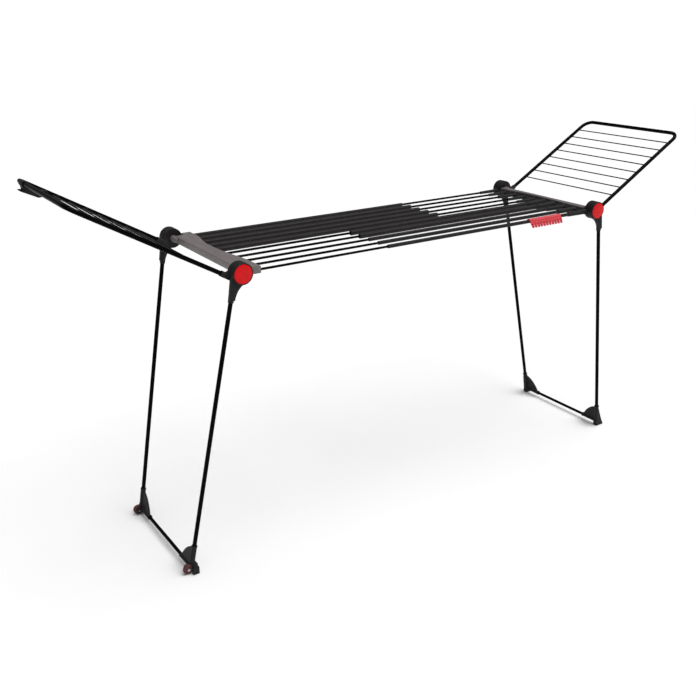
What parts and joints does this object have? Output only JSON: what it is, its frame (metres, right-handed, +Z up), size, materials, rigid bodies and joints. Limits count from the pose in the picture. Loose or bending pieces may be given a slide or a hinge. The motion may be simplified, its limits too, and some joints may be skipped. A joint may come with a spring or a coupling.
{
  "type": "clothes airer",
  "caption": "Free-standing folding clothes airer: a telescopic railed deck on two folding leg frames, with a folding wired wing at each end.",
  "frame": {"origin": "on the floor, midway between the two hinge axes and midway between front and back, deck pulled out", "axes": "+X along the deck towards the right-hand end, +Y to the back, +Z up"},
  "size_m": [2.5195, 0.558, 1.2555],
  "materials": {
    "beam_plastic": "satin warm grey moulded plastic",
    "hub_plastic": "fine textured charcoal moulded plastic",
    "red_plastic": "gloss red moulded plastic",
    "strip_plastic": "satin coral red moulded plastic",
    "wheel_plastic": "dull dark red moulded plastic",
    "black_paint": "semi gloss black powder coat on steel tube",
    "sleeve_paint": "satin charcoal powder coat on steel tube",
    "zinc_steel": "zinc plated steel"
  },
  "bodies": {
    "left_deck": {"left_beam": "beam_plastic", "deck_sleeve_1": "sleeve_paint", "deck_sleeve_2": "sleeve_paint", "deck_sleeve_3": "sleeve_paint", "deck_sleeve_4": "sleeve_paint", "deck_sleeve_5": "sleeve_paint", "deck_rod_6": "black_paint", "deck_rod_7": "black_paint", "deck_rod_8": "black_paint", "deck_rod_9": "black_paint", "deck_rod_10": "black_paint", "left_front_pivot_bolt": "zinc_steel", "left_back_pivot_bolt": "zinc_steel"},
    "right_deck": {"right_beam": "beam_plastic", "deck_sleeve_6": "sleeve_paint", "deck_sleeve_7": "sleeve_paint", "deck_sleeve_8": "sleeve_paint", "deck_sleeve_9": "sleeve_paint", "deck_sleeve_10": "sleeve_paint", "deck_rod_1": "black_paint", "deck_rod_2": "black_paint", "deck_rod_3": "black_paint", "deck_rod_4": "black_paint", "deck_rod_5": "black_paint", "right_front_pivot_bolt": "zinc_steel", "right_back_pivot_bolt": "zinc_steel"},
    "left_wing": {"left_wing_frame": "black_paint", "wing_clip": "hub_plastic", "left_front_wing_arm": "hub_plastic", "left_back_wing_arm": "hub_plastic"},
    "right_wing": {"right_wing_frame": "black_paint", "right_front_wing_arm": "hub_plastic", "right_back_wing_arm": "hub_plastic"},
    "left_legs": {"left_leg_crossbar": "black_paint", "left_front_leg_hub": "hub_plastic", "left_back_leg_hub": "hub_plastic", "left_front_hub_cap": "red_plastic", "left_back_hub_cap": "red_plastic", "left_front_leg_tube": "black_paint", "left_back_leg_tube": "black_paint", "left_front_foot": "hub_plastic", "left_back_foot": "hub_plastic", "left_front_wheel_axle": "zinc_steel", "left_back_wheel_axle": "zinc_steel"},
    "right_legs": {"right_leg_crossbar": "black_paint", "right_front_leg_hub": "hub_plastic", "right_back_leg_hub": "hub_plastic", "right_front_hub_cap": "red_plastic", "right_back_hub_cap": "red_plastic", "right_front_leg_tube": "black_paint", "right_back_leg_tube": "black_paint", "right_front_foot": "hub_plastic", "right_back_foot": "hub_plastic"},
    "front_wheel": {"left_front_wheel": "wheel_plastic"},
    "back_wheel": {"left_back_wheel": "wheel_plastic"},
    "item_strip": {"small_item_strip": "strip_plastic"}
  },
  "joints": [
    {"name": "deck_extension", "type": "slide", "parent": "left_deck", "child": "right_deck", "axis": [1, 0, 0], "range_m": [-0.4, 0]},
    {"name": "left_wing_fold", "type": "hinge", "parent": "left_deck", "child": "left_wing", "pos_m": [-0.765, 0, 0.997], "axis": [0, 1, 0], "range_deg": [0, 150]},
    {"name": "right_wing_fold", "type": "hinge", "parent": "right_deck", "child": "right_wing", "pos_m": [0.765, 0, 0.997], "axis": [0, -1, 0], "range_deg": [0, 150]},
    {"name": "left_leg_fold", "type": "hinge", "parent": "left_deck", "child": "left_legs", "pos_m": [-0.765, 0, 0.997], "axis": [0, -1, 0], "range_deg": [0, 87.8]},
    {"name": "right_leg_fold", "type": "hinge", "parent": "right_deck", "child": "right_legs", "pos_m": [0.765, 0, 0.997], "axis": [0, 1, 0], "range_deg": [0, 94.3]},
    {"name": "front_wheel_spin", "type": "hinge", "parent": "left_legs", "child": "front_wheel", "pos_m": [-0.98613, -0.22, 0.0178], "axis": [0, 1, 0], "continuous": true},
    {"name": "back_wheel_spin", "type": "hinge", "parent": "left_legs", "child": "back_wheel", "pos_m": [-0.98613, 0.22, 0.0178], "axis": [0, 1, 0], "continuous": true},
    {"name": "item_strip_slide", "type": "slide", "parent": "right_deck", "child": "item_strip", "axis": [1, 0, 0], "range_m": [-0.15, 0.02]}
  ]
}
